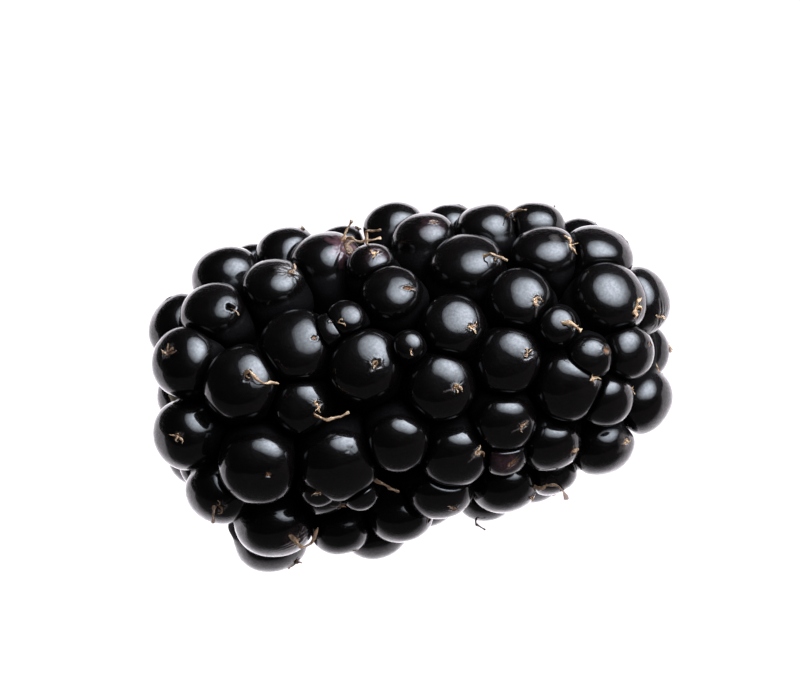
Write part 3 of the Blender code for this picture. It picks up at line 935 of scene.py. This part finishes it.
def thread_grid(path, thickness, flatness, seed):
    """Rings of a closed thread: thickness is one value a point, and both ends close to a point."""
    ways = np.gradient(path, axis=0)
    ways /= np.linalg.norm(ways, axis=1)[:, None]
    side = unit(np.cross(ways[0], (0.3, 0.5, 0.8)))
    turns = np.linspace(0.0, 2.0 * math.pi, THREAD_SIDES, endpoint=False)
    rings = [np.repeat(path[:1], THREAD_SIDES, axis=0)]
    for step, (point, way) in enumerate(zip(path, ways)):
        side = unit(side - way * side.dot(way))
        other = np.cross(way, side)
        twist = seed + 0.25 * step
        ridge = 1.0 + 0.16 * np.cos(3.0 * turns + seed) + 0.10 * noise.noise(Vector(point) * 4.0)
        wide = (ridge * np.cos(turns))[:, None] * (side * math.cos(twist) + other * math.sin(twist))
        thin = (ridge * np.sin(turns))[:, None] * (other * math.cos(twist) - side * math.sin(twist))
        rings.append(point + thickness[step] * (wide + flatness * thin))
    rings.append(np.repeat(path[-1:], THREAD_SIDES, axis=0))
    grid = np.array(rings)
    grid[0] -= ways[0] * thickness[0] * 0.4
    grid[-1] += ways[-1] * thickness[-1] * 0.4
    return grid


def new_threads(name, grids, tones):
    """One piece made of closed threads."""
    vertices, faces, tone = [], [], []
    for grid, shade in zip(grids, tones):
        more_vertices, more_faces = capped_grid(grid)
        faces += [tuple(corner + len(vertices) for corner in face) for face in more_faces]
        vertices += list(more_vertices)
        tone += [shade] * len(more_vertices)
    thing = new_object(name, np.array(vertices) * MM, faces)
    add_mask(thing, "tone", np.array(tone))
    return thing


print("sides of a thread:", THREAD_SIDES)

# %% The routes of the styles
# Radius, tone, club, and the route as station, angle and distance from the axis.
STYLES = (
    (0.09, 0.72, 1.0,
     ((-9.6, 54, 10.6), (-9.3, 51, 10.4), (-8.9, 49, 10.2), (-8.4, 49, 9.9), (-8.0, 48, 9.7))),
    (0.09, 0.75, 1.0, ((-5.5, 31, 9.4), (-5.0, 31, 9.4), (-4.5, 31, 9.3), (-4.0, 32, 9.3))),
    (0.09, 0.75, 0.7,
     ((-2.1, 111, 10.0), (-1.7, 106, 10.1), (-1.2, 99, 10.6), (-0.6, 98, 10.7), (0.0, 99, 10.6))),
    (0.08, 0.60, 0.7, ((-0.9, 108, 10.4), (-0.5, 103, 10.8), (0.1, 101, 11.0))),
    (0.09, 0.80, 1.0, ((-2.4, 113, 10.1), (-2.1, 114, 10.5), (-1.7, 113, 11.0))),
    (0.10, 0.55, 0.8,
     ((-9.2, -22, 10.2), (-9.1, -25, 10.3), (-8.8, -28, 10.2), (-8.3, -29, 9.9), (-7.7, -21, 9.6))),
    (0.09, 0.62, 0.6, ((6.7, 87, 9.2), (7.1, 86, 9.1), (7.7, 83, 9.0))),
    (0.09, 0.50, 0.8, ((8.3, 117, 9.2), (8.8, 114, 9.4), (9.4, 110, 9.6))),
    (0.13, 0.85, 1.0, ((10.9, 50, 9.0), (11.2, 48, 8.8), (11.5, 46, 8.6))),
    (0.09, 0.38, 1.7,
     ((6.9, -30, 9.3), (7.2, -28, 9.3), (7.7, -26, 9.5), (8.1, -29, 9.7), (8.2, -46, 9.9))),
    (0.10, 0.30, 1.0, ((-2.8, -5, 9.1), (-2.5, -8, 9.1), (-2.1, -11, 9.1))),
    (0.09, 0.22, 1.2, ((-13.9, -3, 8.7), (-14.0, -5, 8.9), (-14.1, -6, 9.3))),
    (0.07, 0.12, 1.0, ((2.1, -51, 10.4), (2.3, -52, 10.6), (2.6, -52, 10.9))),
)
STYLE_GAP = 0.10
STYLE_STEPS = 6


def nearest_drupelet(point):
    reaches = [np.linalg.norm(point - middle) / radius for middle, radius in zip(middles, radii)]
    return int(np.argmin(reaches))


def on_skin(point, gap):
    """The place above or below the point that is a gap off the skin of the nearest drupelet."""
    number = nearest_drupelet(point)
    way = unit(point - middles[number])
    return middles[number] + way * (pressed_reach(number, way[None, :])[0] + gap)


def kept_off(point, gap):
    """The point, or a place on the skin if the point is inside it."""
    middle, place = middles[nearest_drupelet(point)], on_skin(point, gap)
    return max(point, place, key=lambda p: np.linalg.norm(p - middle))


def make_style(number, radius, tone, club, route):
    knots = []
    for station, angle, reach in route:
        turn = math.radians(angle)
        knot = np.array((station, -reach * math.cos(turn), reach * math.sin(turn) + axis_height))
        knots.append(knot + centring)
    root = on_skin(1.4 * knots[0] - 0.4 * knots[1], 0.0)
    foot = middles[nearest_drupelet(root)]
    knots.insert(0, root + unit(foot - root) * 0.12)
    path = smooth_path(knots, STYLE_STEPS)
    path[STYLE_STEPS:] = [kept_off(point, radius + STYLE_GAP) for point in path[STYLE_STEPS:]]
    kinks = np.stack([noisy(path, 0.35, 9.0 * axis + number) for axis in range(3)], axis=1)
    path[1:] += 0.05 * kinks[1:]
    share = np.linspace(0.0, 1.0, len(path))
    thickness = radius * (1.45 - 0.75 * share + 0.55 * club * np.exp(-(((share - 0.95) / 0.07) ** 2)))
    thickness *= 1.0 + 0.18 * np.sin(17.0 * share + number)
    thing = new_threads(f"withered_style_{number:02d}", [thread_grid(path, thickness, 0.62, number)], [tone])
    return settle(thing, fibre, "dried_style", f"dried_style_{number}")


styles = [make_style(number, *style) for number, style in enumerate(STYLES, start=1)]
print("withered styles:", len(styles))

# %% [markdown]
# ## Crumbs of dry style
# Most styles broke off short and left a crumb: one to four curled shreds, most of them lighter than the scar.
# A hair system could scatter them, but each should start at its own scar and hug the skin. So a shred is a
# path in the skin's own measures, along, across and height, which the drupelet turns into a place.

# %% Crumbs
CRUMB_TONES = {2: 0.7, 14: 0.75, 23: 0.95, 25: 0.8, 31: 0.7, 32: 0.75, 33: 0.6, 34: 0.1, 37: 0.7, 38: 0.5,
               39: 0.65, 44: 0.8, 46: 0.75, 47: 0.6, 51: 0.85, 53: 0.8, 54: 0.6, 20: 0.85, 12: 0.4, 1: 0.45}
SHRED_POINTS = 9


def shred_path(number, dice, heading):
    """A curled shred that starts in the scar and wanders over the skin."""
    size = scar_of(number)[4]
    curl = dice.uniform(-0.45, 0.45)
    stride = dice.uniform(0.035, 0.085) * size
    lift = dice.uniform(0.0, 0.22)
    spot = np.array((dice.uniform(-0.10, 0.10), dice.uniform(-0.10, 0.10))) * size
    places = []
    for step in range(SHRED_POINTS):
        share = step / (SHRED_POINTS - 1)
        places.append((*spot, 0.03 * share + lift * share ** 2 * size))
        heading += curl + dice.uniform(-0.45, 0.45)
        spot = spot + stride * np.array((math.cos(heading), math.sin(heading)))
    along, across, height = np.array(places).T
    angle = np.hypot(along, across)[None, :] / radii[number]
    points, ways, _ = skin_of(number, angle, np.arctan2(across, along)[None, :])
    return points[0] + ways[0] * height[:, None]


def make_crumb(number):
    dice = np.random.default_rng(number + 40)
    grids, tones = [], []
    tone = CRUMB_TONES.get(number, 0.55 + 0.25 * math.sin(number))
    main_way = math.radians(scar_of(number)[3]) + dice.choice((0.0, math.pi))
    for shred in range(KINDS[scar_of(number)[0]].crumbs):
        heading = main_way + dice.uniform(-0.7, 0.7) + (1.9 if shred == 2 else 0.0)
        path = shred_path(number, dice, heading)
        share = np.linspace(0.0, 1.0, SHRED_POINTS)
        taper_off = (1.0 - 0.7 * share ** 2) * (1.0 + 0.3 * np.sin(9.0 * share + number + shred))
        thickness = dice.uniform(0.06, 0.12) * scar_of(number)[4] * taper_off
        grids.append(thread_grid(path, thickness, dice.uniform(0.3, 0.7), dice.uniform(0.0, 6.0)))
        tones.append(tone + dice.uniform(-0.15, 0.15))
    thing = new_threads(f"crumb_{number + 1:03d}", grids, tones)
    return settle(thing, fibre, "dried_style", "berry")


crumbs = [make_crumb(number) for number in range(len(middles)) if KINDS[scar_of(number)[0]].crumbs]
print("crumbs:", len(crumbs))
